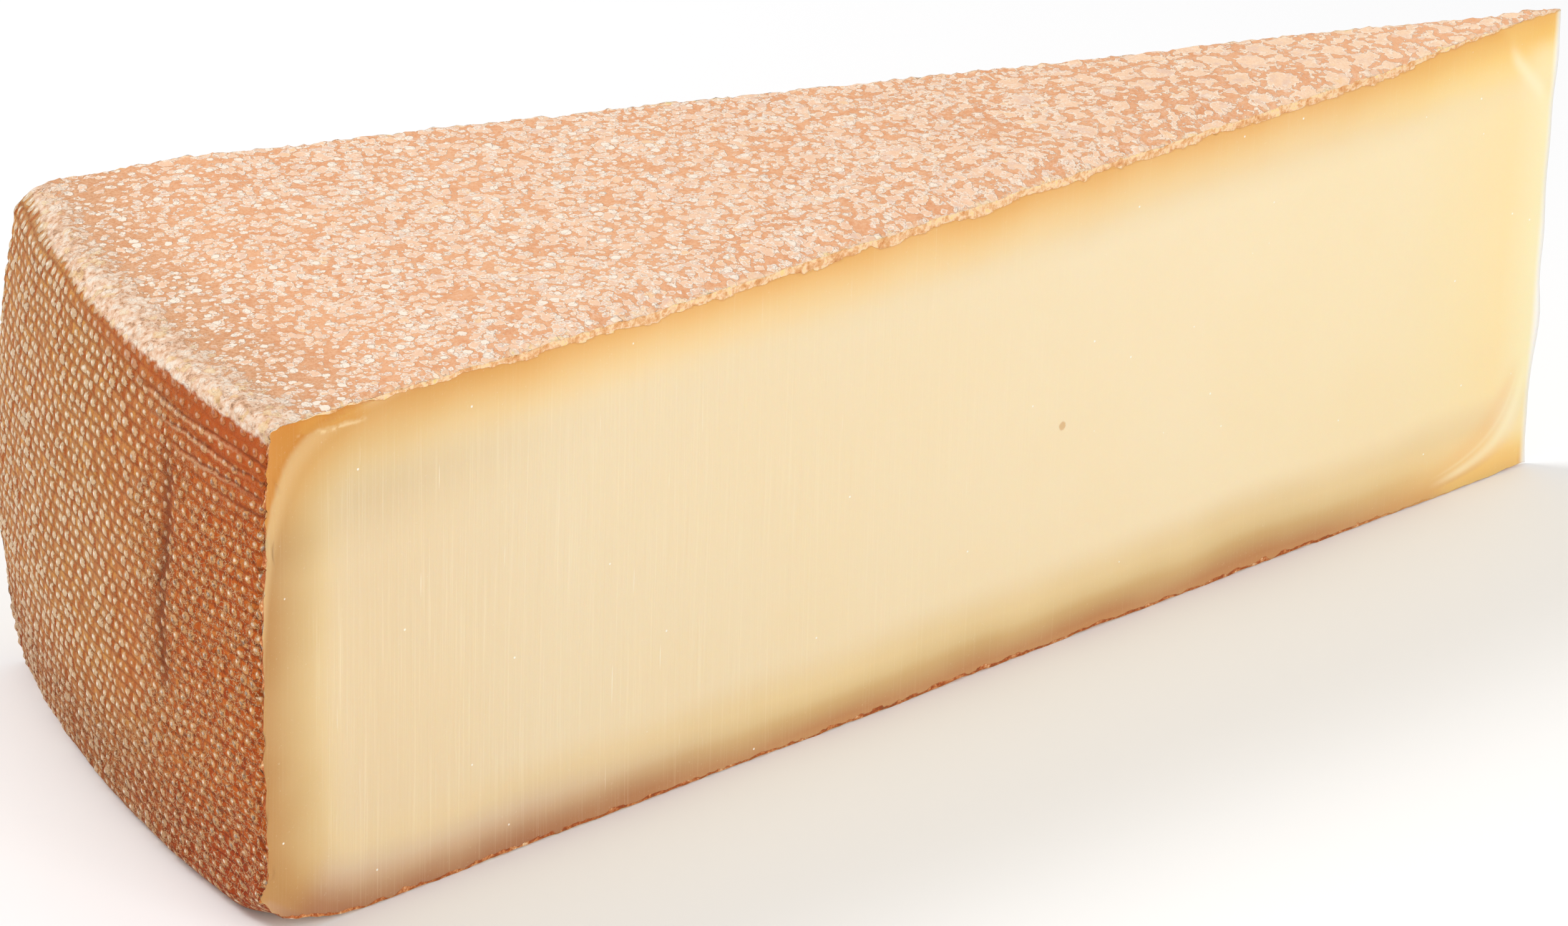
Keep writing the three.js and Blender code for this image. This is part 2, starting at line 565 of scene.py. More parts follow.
class Graph:
    """Builds one material's node tree."""

    def __init__(self, name):
        self.material = bpy.data.materials.new(name)
        self.material.use_nodes = True
        self.tree = self.material.node_tree
        self.shader = self.tree.nodes["Principled BSDF"]
        places = self.node("ShaderNodeTexCoord").outputs["Object"]
        scaled = self.vector_math("SCALE", {0: places, "Scale": 1 / MM})
        self.place = self.vector_math("ADD", {0: scaled, 1: tuple(-TIP)})
        parts = self.node("ShaderNodeSeparateXYZ", {0: self.place})
        self.x, self.y, self.z = (Field(self, s) for s in parts.outputs)

    def node(self, kind, inputs=None, **settings):
        made = self.tree.nodes.new(kind)
        for key, value in settings.items():
            setattr(made, key, value)
        for key, value in (inputs or {}).items():
            self.feed(made.inputs[key], value)
        return made

    def feed(self, socket, value):
        if isinstance(value, Field):
            value = value.socket
        if isinstance(value, bpy.types.NodeSocket):
            self.tree.links.new(value, socket)
        else:
            socket.default_value = value

    def math(self, operation, *values):
        inputs = dict(enumerate(values))
        return Field(self, self.node("ShaderNodeMath", inputs, operation=operation).outputs[0])

    sin = partialmethod(math, "SINE")
    exp = partialmethod(math, "EXPONENT")
    floor = partialmethod(math, "FLOOR")
    mod = partialmethod(math, "FLOORED_MODULO")
    absolute = partialmethod(math, "ABSOLUTE")
    arctan2 = partialmethod(math, "ARCTAN2")
    most = partialmethod(math, "MAXIMUM")
    least = partialmethod(math, "MINIMUM")

    def hypot(self, x, y):
        return self.math("SQRT", x * x + y * y)

    def map_smooth(self, x, low, high):
        inputs = {"Value": x, "From Min": low, "From Max": high}
        made = self.node("ShaderNodeMapRange", inputs, interpolation_type="SMOOTHSTEP")
        return Field(self, made.outputs["Result"])

    def vector_math(self, operation, inputs):
        return self.node("ShaderNodeVectorMath", inputs, operation=operation).outputs[0]

    def attribute(self, name):
        made = self.node("ShaderNodeAttribute", attribute_name=name)
        return Field(self, made.outputs["Fac"])

    def vector(self, x, y):
        return self.node("ShaderNodeCombineXYZ", {0: x, 1: y}).outputs[0]

    def noise(self, size, detail, roughness, seed, at=None):
        """Noise from 0 to 1, with lumps of about that size in mm."""
        inputs = {
            "Vector": self.place if at is None else at, "W": seed,
            "Scale": 1 / size, "Detail": detail, "Roughness": roughness,
        }
        made = self.node("ShaderNodeTexNoise", inputs, noise_dimensions="4D")
        return Field(self, made.outputs["Fac"])

    def warped(self, size, amount, seed):
        """The place, pushed about by noise."""
        inputs = {"Vector": self.place, "W": seed, "Scale": 1 / size, "Detail": 2.0}
        push = self.node("ShaderNodeTexNoise", inputs, noise_dimensions="4D").outputs["Color"]
        centred = self.vector_math("SUBTRACT", {0: push, 1: (0.5, 0.5, 0.5)})
        grown = self.vector_math("SCALE", {0: centred, "Scale": amount})
        return self.vector_math("ADD", {0: self.place, 1: grown})

    def cells(self, size, at, feature="F1"):
        """Distance within random cells and three random numbers for each, or the distance to their edge."""
        made = self.node("ShaderNodeTexVoronoi", {"Vector": at, "Scale": 1 / size}, feature=feature)
        if feature == "DISTANCE_TO_EDGE":
            return Field(self, made.outputs["Distance"])
        parts = self.node("ShaderNodeSeparateXYZ", {0: made.outputs["Color"]})
        return Field(self, made.outputs["Distance"]), [Field(self, s) for s in parts.outputs]

    def ramp(self, x, *stops):
        """Colour along x, from (value, 8-bit colour) stops."""
        low, high = stops[0][0], stops[-1][0]
        made = self.node("ShaderNodeValToRGB", {0: (x - low) / (high - low)})
        elements = made.color_ramp.elements
        for k, (value, colour) in enumerate(stops):
            at = (value - low) / (high - low)
            element = elements[k] if k < 2 else elements.new(at)
            element.position = at
            element.color = linear(colour)
        return made.outputs["Color"]

    def mix(self, share, first, second, kind="MIX"):
        """First where share is 0, second where it is 1. Colours may be 8-bit triples."""
        made = self.node("ShaderNodeMix", data_type="RGBA", blend_type=kind)
        self.feed(made.inputs[0], share)
        for socket, colour in ((made.inputs[6], first), (made.inputs[7], second)):
            self.feed(socket, linear(colour) if isinstance(colour, tuple) else colour)
        return made.outputs[2]

    def bump(self, height, depth):
        """Bump for a height of 0 to 1 that stands for that many mm."""
        inputs = {"Height": height, "Distance": depth * MM, "Strength": 1.0}
        return self.node("ShaderNodeBump", inputs).outputs["Normal"]

    def finish(self, colour, roughness, normal):
        self.feed(self.shader.inputs["Base Color"], colour)
        self.feed(self.shader.inputs["Roughness"], roughness)
        self.feed(self.shader.inputs["Normal"], normal)
        return self.material


# Colours are 8-bit display colours. Ramps of the paste run from the tip, and inwards from its edges, in mm.
HEART = (
    (0, (248, 233, 196)), (4, (250, 233, 186)), (12, (252, 227, 172)), (40, (249, 227, 183)),
    (100, (246, 226, 187)), (200, (240, 219, 180)), (250, (237, 216, 178)), (290, (231, 206, 165)),
)
BY_HEEL = (
    (0, (186, 136, 76)), (2.5, (195, 148, 90)), (6, (207, 168, 112)), (9, (216, 182, 127)),
    (13, (228, 199, 148)), (20, (236, 212, 169)),
)
BY_TOP = (
    (0, (219, 154, 74)), (3, (231, 175, 98)), (5.5, (238, 189, 119)), (8, (240, 200, 137)),
    (11, (243, 211, 157)), (16, (245, 222, 179)),
)
TOP_BY_TIP = (
    (0, (226, 164, 78)), (3, (240, 188, 98)), (7, (249, 206, 122)), (11, (252, 220, 150)),
    (16, (252, 229, 176)),
)
# Towards the base the paste darkens partly from ripening under the rind and partly from painted shade
BY_BASE = (
    (0, (204, 146, 92)), (2, (194, 138, 88)), (4, (200, 156, 104)), (6, (210, 173, 117)),
    (8, (223, 194, 140)), (11, (237, 211, 160)), (16, (243, 220, 174)),
)
BASE_BY_HEEL = (
    (0, (168, 108, 72)), (2, (176, 122, 84)), (4, (188, 144, 108)), (6, (204, 167, 132)),
    (8.5, (218, 190, 156)), (12, (232, 208, 168)), (16, (240, 216, 176)),
)
BASE_BY_TIP = (
    (0, (222, 168, 104)), (2, (236, 188, 116)), (5, (246, 206, 138)), (10, (250, 220, 162)),
    (15, (252, 228, 178)),
)
BENT_CORNER = ((0, (140, 84, 54)), (4, (160, 106, 74)), (9, (196, 154, 116)))  # upwards from the base

# Ramps along a noise of 0 to 1
WORN_RIM = (
    (0.26, (152, 114, 86)), (0.34, (204, 158, 124)), (0.41, (228, 184, 152)), (0.49, (239, 206, 178)),
    (0.60, (248, 230, 210)),
)
FRESH_CRUMBS = (
    (0.34, (224, 160, 110)), (0.46, (244, 200, 160)), (0.56, (252, 228, 196)), (0.66, (248, 218, 140)),
)
TOP_CRUMBS = (
    (0.32, (206, 138, 78)), (0.46, (232, 178, 124)), (0.56, (247, 212, 172)), (0.68, (246, 212, 136)),
)
LOW_CRUMBS = (
    (0.3, (120, 56, 26)), (0.48, (170, 84, 36)), (0.60, (212, 142, 88)), (0.7, (244, 206, 164)),
)


def from_heel_field(g):
    return WHEEL_RADIUS - g.hypot(g.x - CENTRE[0], g.y - CENTRE[1])


def from_face_field(g):
    """Distance in from the heel's bulging face, as it is at the near cut."""
    share = g.z * (2 / WHEEL_HEIGHT) - 1.0
    return g.most(from_heel_field(g) + (1 - share * share) * (BULGE_SHARES[0] * HEEL_BULGE), 0.0)


def bloom(g, from_heel):
    """Bloom on the flat rinds: crisp dots near the heel, patches and rings further in, islands at the tip.

    Returns the shares of dots and patches, the patches' pale rims, and the rings' centres and rims.
    """
    fine = g.noise(0.6, 3, 0.6, seed=5.0) - 0.5
    patchy = g.noise(9, 2, 0.5, seed=8.0) - 0.5
    inwards = smoothstep(from_heel, 6, 50)
    tipwards = smoothstep(from_heel, 110, 245)

    dot, (dot_luck, dot_size, _) = g.cells(2.3, g.warped(1.2, 0.7, 2.0))
    wanted = smoothstep(dot_luck + 0.8 * patchy - 0.16 * inwards, 0.46, 0.50)
    dots = fade(dot + 0.35 * fine - 0.25 * dot_size, 0.16, 0.24)
    dots = dots * wanted * (1 - 0.6 * tipwards)

    lumps = g.noise(1.5, 2, 0.55, seed=18.0) - 0.5
    small, (small_luck, _, _) = g.cells(2.1, g.warped(0.9, 1.3, 29.0))
    wide = g.cells(5.4, g.warped(2.0, 2.8, 17.0), "DISTANCE_TO_EDGE")
    small_field = 0.54 - small + 0.8 * lumps + 0.30 * (small_luck - 0.5)
    wide_field = 1.6 * wide - 0.15 + 1.25 * lumps
    field = small_field + tipwards * (wide_field - small_field) + 0.35 * fine + 0.3 * patchy
    level = 0.20 - 0.20 * inwards
    patches = smoothstep(field - level, -0.02, 0.06)
    rims = dip(field - level - 0.06, 0.045, g)

    ring, (ring_luck, _, _) = g.cells(1.5, g.warped(0.7, 0.8, 37.0))
    kept = smoothstep(ring_luck + 0.3 * patches + 0.3 * patchy + 0.1 * inwards, 0.52, 0.62)
    kept = kept * (1 - 0.85 * tipwards)
    ring = ring + 0.4 * fine
    centres = fade(ring, 0.22, 0.30) * kept
    return dots, patches, rims, centres, dip(ring - 0.34, 0.085, g) * kept


def flat_rind(g, from_heel, fine, broad):
    """Colour and relief of the two flat rinds, without the worn rim, and the noise of their spots."""
    dots, patches, rims, centres, rings = bloom(g, from_heel)
    spotty = g.noise(2.2, 3, 0.6, seed=6.0)
    grey = smoothstep(g.noise(2.6, 3, 0.6, seed=71.0), 0.50, 0.64)
    yellow = smoothstep(g.noise(3.6, 3, 0.6, seed=73.0), 0.58, 0.68)

    near_heel = fade(from_heel + 16 * (broad - 0.5), 6, 32)
    ground = g.mix(smoothstep(broad, 0.3, 0.7), (224, 158, 113), (230, 168, 123))
    ground = g.mix(near_heel * 0.85, ground, (198, 142, 100))
    ground = g.mix(smoothstep(fine, 0.36, 0.66) * 0.55, ground, (242, 196, 158))
    ground = g.mix(smoothstep(spotty, 0.50, 0.66) * 0.45, ground, (216, 145, 98))

    by_tip = smoothstep(from_heel, 215, 285)
    ground = g.mix(by_tip * 0.6, ground, (244, 186, 142))
    fill = g.mix(smoothstep(from_heel, 130, 280), (246, 210, 180), (254, 224, 192))
    fill = g.mix(grey * (0.7 - 0.5 * by_tip), fill, (228, 202, 188))
    fill = g.mix(yellow * 0.6, fill, (249, 214, 162))
    flat = g.mix(patches * (0.40 + 0.7 * fine), ground, fill)
    mottled = smoothstep(g.noise(1.1, 3, 0.65, seed=75.0), 0.50, 0.60)
    flat = g.mix(patches * mottled * 0.25, flat, (238, 192, 154))
    flat = g.mix(centres * 0.55, flat, g.mix(grey, (238, 196, 164), (224, 198, 186)))
    flat = g.mix(rims * (0.40 + 0.8 * fine), flat, (255, 239, 218))
    flat = g.mix(rings * (0.40 + 0.9 * fine), flat, (255, 242, 226))
    flat = g.mix(dots * 0.9, flat, (253, 237, 219))
    height = 0.5 * fine + 0.35 * patches + 0.2 * rings + 0.4 * dots
    return flat, height, spotty


def worn_rim(g, from_heel, fine, spotty):
    """How far the upper rim is rubbed pale, its colour and its relief: crumbs with darker gaps."""
    crumb, (luck, tint, _) = g.cells(1.5, g.warped(1.0, 1.6, 12.0))
    patch = g.noise(5.5, 3, 0.6, seed=13.0) - 0.5
    grain = g.noise(1.1, 3, 0.65, seed=4.0)
    mixed = 0.80 * grain + 0.24 * (0.62 - crumb) + 0.10 * luck + 0.36 * patch
    share = fade(from_heel + 14 * patch - 20 * (mixed - 0.46), 5.0, 8.5)
    colour = g.ramp(mixed, *WORN_RIM)
    colour = g.mix(smoothstep(spotty, 0.52, 0.64) * 0.30, colour, (204, 180, 154))
    colour = g.mix(smoothstep(tint, 0.86, 0.90) * 0.40, colour, (240, 204, 136))
    speck = smoothstep(g.noise(0.9, 2, 0.5, seed=47.0), 0.66, 0.71)
    colour = g.mix(speck * 0.6, colour, (116, 84, 62))
    return share, colour, mixed * 0.4 + 0.4 * fine


def heel_zones(u, v, drift):
    """Shares of the heel's zones: paler away from the near cut, palest far off, low, and red by the rim."""
    return SimpleNamespace(
        pale=smoothstep(u + 26 * drift, 8, 66),
        far=smoothstep(u + 20 * drift, 62, 104),
        low=fade(v + 12 * drift, 8, 30),
        red=fade(u + 10 * drift, 14, 52) * smoothstep(v + 8 * drift, 72, 90),
    )


def cloth_ground(g, zone, painted_shadow_side, thread, luck):
    """Colour between the nubs: a deep orange painted shadow on the near-cut side of each nub, and darker
    along the threads.
    """
    base = g.mix(zone.pale, (194, 94, 20), (190, 130, 72))
    base = g.mix(zone.far * 0.6, base, (196, 146, 98))
    golden = smoothstep(g.noise(1.9, 2, 0.5, seed=67.0), 0.50, 0.62) * (1 - 0.6 * zone.low)
    base = g.mix(golden * (0.25 + 0.4 * zone.pale), base, (214, 152, 72))
    # Painted shadow colour, used on the near-cut side of each nub
    painted_shadow_colour = g.mix(zone.pale, (170, 64, 2), (168, 78, 16))
    colour = g.mix(painted_shadow_side * (0.45 + 0.5 * luck), base, painted_shadow_colour)
    dark = g.mix(zone.pale, (140, 54, 4), (148, 86, 40))
    colour = g.mix(thread * (0.62 + 0.25 * zone.low), colour, dark)
    return g.mix(zone.low, colour, (230, 204, 194), "MULTIPLY")


def cloth_caps(g, colour, zone, spread, painted_highlight, nub, luck, ragged):
    """Pale caps on the nubs, some with a painted highlight off their middle and some with a dark pinhole."""
    cap = g.mix(zone.pale, (218, 158, 96), (223, 194, 156))
    cap = g.mix(zone.far * 0.6, cap, (222, 198, 168))
    cap = g.mix(zone.low * 0.4, cap, (196, 148, 110))
    colour = g.mix(nub * 0.85, colour, cap)
    # Painted highlight on the cap, a little towards the far cut and up
    colour = g.mix(painted_highlight * nub * (0.3 + 0.8 * luck), colour, (252, 238, 218))
    pin = fade(spread + 0.6 * ragged, 0.12, 0.36) * smoothstep(luck, 0.66, 0.76)
    return g.mix(pin * (1 - zone.pale * 0.8) * 0.7, colour, (96, 56, 34))


def cloth_creases(g, colour, u, v, nub, ragged):
    """The seam and the folds, with pale upper edges. Returns the colour and the creases' share."""
    stroke = seam(u + 2.0 * ragged, v, g)
    crease = g.most(stroke * (0.75 - 0.4 * nub), folds(u, v, g) * (0.7 + ragged))
    colour = g.mix(crease, colour, (126, 56, 20))
    edge = folds(u, v + 0.7 + 1.2 * ragged, g) * smoothstep(u, 2, 18)
    return g.mix(edge * 0.6, colour, (226, 178, 134)), crease


def cloth_heel(g, u, v, fine, broad):
    """Colour and relief of the heel, where the cheesecloth has left its marks, with painted highlights and
    painted shadows on the nubs, and the nubs' share.
    """
    across, up, from_row, luck = cloth_nub(u, v, g)
    ragged = g.noise(0.7, 4, 0.7, seed=9.0) - 0.5
    rubbed = g.noise(4.5, 3, 0.6, seed=63.0) - 0.5
    drift = broad - 0.5
    zone = heel_zones(u, v, drift)

    spread = g.hypot(across / 0.31, up / 0.35) + 1.7 * ragged + 0.6 * (0.5 - luck) + 0.9 * rubbed
    nub = fade(spread - 0.10 * zone.pale, 0.62, 1.0)
    # Where the painted highlight sits on each nub
    painted_highlight = fade(g.hypot((across - 0.08) / 0.2, (up - 0.05) / 0.2) + 1.5 * ragged, 0.3, 0.9)
    # Painted shadow on the near-cut side of each nub, away from the light
    painted_shadow_side = smoothstep(across * -1.0 + 0.6 * ragged, 0.16, 0.38)
    thread = smoothstep(g.absolute(from_row) + 0.35 * ragged - 0.05 * zone.low, 0.30, 0.44)
    colour = cloth_ground(g, zone, painted_shadow_side, thread, luck)
    colour = cloth_caps(g, colour, zone, spread, painted_highlight, nub, luck, ragged)

    # Scurf: pale curls and dark pits, thickest by the near cut and the base
    scurfy = smoothstep(0.9 * drift + 0.38 * (1 - zone.pale) + 0.3 * zone.low, 0.05, 0.35)
    scurfy = scurfy * (1 - 0.8 * zone.red)
    curl = fade(g.absolute(g.noise(1.3, 3, 0.6, seed=51.0) - 0.5), 0.010, 0.038)
    pit = smoothstep(g.noise(0.9, 3, 0.6, seed=57.0), 0.56, 0.66)
    colour = g.mix(curl * (0.10 + 0.50 * scurfy), colour, (236, 190, 138))
    colour = g.mix(pit * (0.20 + 0.45 * scurfy), colour, (128, 54, 10))
    colour = g.mix(zone.red * 0.6 * (1 - 0.6 * nub), colour, (184, 80, 12))
    colour, crease = cloth_creases(g, colour, u, v, nub, ragged)
    height = nub * 0.5 + 0.6 * fine + 0.6 * ragged + scurfy * (0.4 * curl - 0.5 * pit) - 0.2 * crease
    return colour, height, nub


def fresh_crumbs(g, colour, spotty, off_side):
    """Fresh cream and yellow crumbs where the rind has broken along a cut."""
    from_near = (g.x * NEAR_OUT[0] + g.y * NEAR_OUT[1]) * -1.0
    from_far = (g.x * FAR_OUT[0] + g.y * FAR_OUT[1]) * -1.0
    broken = g.least(from_near, from_far) + 5.0 * (spotty - 0.5)
    fresh = fade(broken, 0.0, 1.3) * off_side
    crumb = g.noise(2.8, 4, 0.65, seed=21.0)
    return g.mix(fresh * smoothstep(crumb, 0.40, 0.52) * 0.7, colour, g.ramp(crumb, *FRESH_CRUMBS))


def rind_material():
    """Natural rind: mottled bloom on the flat faces, cloth marks on the heel, and a worn rim between."""
    g = Graph("natural_rind")
    from_heel = from_heel_field(g)
    turn = g.arctan2(g.y - CENTRE[1], (g.x - CENTRE[0]) * -1.0)
    u = (turn - NEAR_TURN) * WHEEL_RADIUS
    v = g.z
    fine = g.noise(0.55, 4, 0.65, seed=1.0)
    broad = g.noise(16, 3, 0.5, seed=3.0)
    flat, flat_height, spotty = flat_rind(g, from_heel, fine, broad)
    worn, worn_colour, crumbs = worn_rim(g, from_heel, fine, spotty)
    heel, heel_height, nub = cloth_heel(g, u, v, fine, broad)

    flat = g.mix(worn * 0.92, flat, worn_colour)
    flat_height = flat_height + worn * crumbs
    ragged = g.noise(2.4, 3, 0.6, seed=14.0) - 0.5
    above = smoothstep(v + 3.0 * ragged, 94.4, 95.2)
    margin = smoothstep(v + 3.0 * ragged, 89, 93) * fade(u, 40, 90)
    heel = g.mix(margin * 0.5, heel, (180, 82, 22))
    on_side = (1 - above) * fade(from_heel, 3.0, 4.5)
    colour = fresh_crumbs(g, g.mix(on_side, flat, heel), spotty, 1 - on_side)

    height = g.math("MULTIPLY_ADD", heel_height - flat_height, on_side, flat_height)
    g.shader.inputs["Specular IOR Level"].default_value = 0.22
    return g.finish(colour, 0.74 - 0.14 * nub * on_side, g.bump(height, 0.42))


def rounded_edge(g, from_edge, from_other, radius):
    """Distance in from two edges whose corner is rounded off."""
    return radius - g.hypot(g.most(radius - from_edge, 0.0), g.most(radius - from_other, 0.0))


def ripened_edges(g, from_heel, from_tip, depth, drift):
    """The paste's colour, which ripens from a pale heart to deeper tones under the rind. Painted shade
    darkens it near the top and the heel, and adds to its darkening towards the base.
    """
    heart = g.ramp(from_tip, *HEART)
    inwards = rounded_edge(g, g.least(depth, g.z), from_heel, 20.0) + 4 * drift
    by_top = g.mix(smoothstep(from_tip, 8, 70), g.ramp(inwards, *TOP_BY_TIP), g.ramp(inwards, *BY_TOP))
    base_by_heel = g.ramp(inwards, *BASE_BY_HEEL)
    by_base = g.mix(smoothstep(from_tip, 190, 270), g.ramp(inwards, *BY_BASE), base_by_heel)
    by_base = g.mix(smoothstep(from_tip, 8, 62), g.ramp(inwards, *BASE_BY_TIP), by_base)
    tone = g.mix(smoothstep(depth, 9, 26), by_top, g.ramp(inwards, *BY_HEEL))
    lifted = g.z + 9 * fade(from_heel, 4, 16)
    # Towards the base: partly ripening and partly painted shade
    tone = g.mix(fade(lifted, 7, 20), tone, by_base)
    colour = g.mix(fade(inwards, 11, 20), heart, tone)
    # Painted shade: a multiply that darkens the paste near the top and towards the heel
    painted_shade = fade(depth, 10, 32) * fade(from_heel, -10, 84)
    return g.mix(painted_shade, colour, (230, 224, 210), "MULTIPLY")


def heel_marks(g, colour, from_heel, depth, drift):
    """Marks at the heel's corners of a cut: an amber pocket under the rind, and a bent lower corner."""
    amber = corner_product(from_heel, depth, 2.0) + 20 * drift
    colour = g.mix(fade(amber, 66, 130) * 0.5, colour, (238, 204, 146))
    colour = g.mix(fade(amber, 50, 64) * 0.95, colour, (208, 134, 36))
    pocket = depth + 2.4 * (g.noise(4, 3, 0.6, seed=61.0) - 0.5)
    along = smoothstep(from_heel, 5, 8) * fade(from_heel, 17, 23)
    colour = g.mix(fade(pocket, 3.0, 3.6) * along * 0.85, colour, (216, 152, 62))
    crumbly = smoothstep(g.noise(1.6, 2, 0.5, seed=62.0), 0.42, 0.55)
    colour = g.mix(dip(pocket - 3.9, 0.35, g) * along * crumbly * 0.6, colour, (248, 220, 168))
    facet = g.z + 0.75 * from_heel + 2 * drift
    return g.mix(fade(facet, 7.6, 9.4) * 0.8, colour, g.ramp(g.z, *BENT_CORNER))


def tip_gold_and_painted_light(g, colour, from_tip, depth):
    """Gold and painted light by the tip: painted highlights and painted shade for folds across its lower
    corner, a painted highlight below the rind, and a painted glow.
    """
    fold = (from_tip + 0.5) * g.z
    by_tip = fade(from_tip, 20, 30) * fade(g.z, 17, 26)
    # Painted shade inside the folds
    colour = g.mix(dip(fold - 165.0, 42.0, g) * by_tip * 0.45, colour, (244, 200, 138))
    gold = fade(fold, 42, 62) * smoothstep(from_tip, 2, 4) * by_tip
    colour = g.mix(gold * 0.5, colour, (249, 210, 126))
    # Painted highlights along the folds
    colour = g.mix(dip(fold - 88.0, 20.0, g) * by_tip * 0.65, colour, (254, 238, 196))
    colour = g.mix(dip(fold - 128.0, 9.0, g) * by_tip * 0.35, colour, (253, 234, 190))
    # A painted highlight line below the rind, with gold beyond it
    highlight_streak = depth + 1.1 * from_tip - 22.5
    length = smoothstep(from_tip, 3, 6) * fade(from_tip, 12, 16)
    beyond = fade(highlight_streak, -4, 0) * fade(from_tip, 20, 30)
    colour = g.mix(beyond * 0.32, colour, (247, 207, 120))
    colour = g.mix(dip(highlight_streak, 2.0, g) * length * 0.7, colour, (254, 239, 196))
    # Painted glow, as if light shone through the thin paste near the tip
    inwards = g.least(depth, g.z)
    corner = fade(from_tip, 5, 14) * smoothstep(inwards, 4, 10)
    corner = corner * fade(inwards, 12, 20)
    colour = g.mix(corner * 0.4, colour, (254, 243, 210))
    # Painted glow along the tip's edge
    return g.mix(fade(from_tip, 1.0, 3.2), colour, (255, 248, 238))


def knife_lines(g, colour, from_heel, from_tip, depth):
    """Upright lines left by the knife, finest and closest towards the heel, with their relief."""
    lines = g.noise(0.42, 3, 0.7, at=g.vector(from_tip, g.z * 0.012), seed=3.0)
    strokes = g.noise(0.5, 1, 0.5, at=g.vector(from_tip, g.z * 0.03), seed=19.0)
    marked = smoothstep(from_tip, 90, 270) * smoothstep(from_heel, 6, 16)
    marked = marked * smoothstep(depth, 6, 20) * (0.35 + 0.65 * smoothstep(g.z, 4, 20))
    colour = g.mix(smoothstep(lines, 0.50, 0.72) * (0.04 + 0.24 * marked), colour, (255, 240, 206))
    colour = g.mix(smoothstep(lines * -1.0, -0.44, -0.30) * 0.16 * marked, colour, (226, 194, 142))
    colour = g.mix(smoothstep(strokes, 0.72, 0.77) * (0.08 + 0.50 * marked), colour, (255, 247, 226))
    return colour, 0.30 * lines * (0.25 + marked)


def crystals_and_specks(g, colour):
    """Tiny pale crystals and a few darker specks."""
    crystal, (crystal_luck, _, _) = g.cells(5.0, g.place)
    crystals = fade(crystal, 0.025, 0.06) * smoothstep(crystal_luck, 0.5, 0.55)
    colour = g.mix(crystals * 0.85, colour, (255, 251, 240))
    speck, (speck_luck, speck_size, _) = g.cells(21.0, g.warped(1.0, 0.6, 3.0))
    specks = fade(speck - 0.02 * speck_size, 0.016, 0.036) * smoothstep(speck_luck, 0.7, 0.74)
    return g.mix(specks * 0.6, colour, (208, 156, 92))


def edge_crumbs(g, colour, from_heel, from_tip, depth):
    """Crumbly rind along the edges. Returns the colour, the rind's share and the crumbs."""
    lip = g.attribute("rind")
    crumb = g.noise(1.3, 4, 0.65, seed=15.0)
    rind = smoothstep(lip + 0.9 * (crumb - 0.5), 0.40, 0.60)
    shade = dip(lip - 0.30, 0.22, g) * fade(depth, 3, 8)
    colour = g.mix(shade * 0.45, colour, (214, 150, 78))
    low_crumb = g.mix(fade(from_tip, 10, 60), g.ramp(crumb, *LOW_CRUMBS), (222, 164, 98))
    low = g.most(fade(g.z, 4, 12), fade(from_heel, 3, 6))
    crumbs = g.mix(low * smoothstep(depth, 2, 6), g.ramp(crumb, *TOP_CRUMBS), low_crumb)
    return g.mix(rind, colour, crumbs), rind, crumb


def paste_material():
    """Pale paste: riper all round under the rind, with painted shade, painted highlights and a painted glow
    by the tip, fine knife lines, crystals and specks.
    """
    g = Graph("paste")
    from_heel = from_face_field(g)
    depth = WHEEL_HEIGHT - g.z
    from_tip = g.hypot(g.x, g.y)
    drift = g.noise(26, 2, 0.5, seed=2.0) - 0.5
    fine = g.noise(0.5, 3, 0.6, seed=7.0)
    colour = ripened_edges(g, from_heel, from_tip, depth, drift)
    colour = heel_marks(g, colour, from_heel, depth, drift)
    colour = tip_gold_and_painted_light(g, colour, from_tip, depth)
    colour, strokes = knife_lines(g, colour, from_heel, from_tip, depth)
    colour = g.mix(smoothstep(fine, 0.60, 0.8) * 0.22, colour, (255, 246, 220))
    colour = g.mix(smoothstep(drift + 0.5, 0.35, 0.62) * 0.10, colour, (244, 214, 160))
    colour = crystals_and_specks(g, colour)
    colour, rind, crumb = edge_crumbs(g, colour, from_heel, from_tip, depth)

    height = strokes + 0.12 * fine + rind * crumb * 0.9
    g.shader.inputs["Specular IOR Level"].default_value = 0.3
    g.shader.inputs["Subsurface Weight"].default_value = 0.3
    g.shader.inputs["Subsurface Radius"].default_value = (1.0, 0.62, 0.28)
    g.shader.inputs["Subsurface Scale"].default_value = 4 * MM
    return g.finish(colour, 0.48 + 0.3 * rind, g.bump(height, 0.25))


# ---- The piece ----

# Where each side lies on the bake's map, in the map's own units: lower left corner and scale
MAP_SIZE = (430, 522)
MAP_PLACES = {
    "top": ((2, 2), 1.25),
    "near": ((2, 152), 1.2),
    "far": ((2, 274), 1.0),
    "heel": ((2, 376), 1.35),
    "base": ((172, 400), 0.8),
}


def flat_places(rest, side):
    """A side laid flat, in millimetres from its lower left corner."""
    x, y, z = rest.T
    if side in ("near", "far"):
        return np.column_stack([np.hypot(x, y), z])
    if side == "heel":
        # The rounded rims unroll too, above the face and below it
        rim = np.clip(WHEEL_RADIUS - np.hypot(x - CENTRE[0], y - CENTRE[1]), 0, None)
        unrolled = z + rim * np.sign(z - WHEEL_HEIGHT / 2)
        return np.column_stack([heel_place(rest) + 1, unrolled + 8])
    return np.column_stack([-x, y + 60])


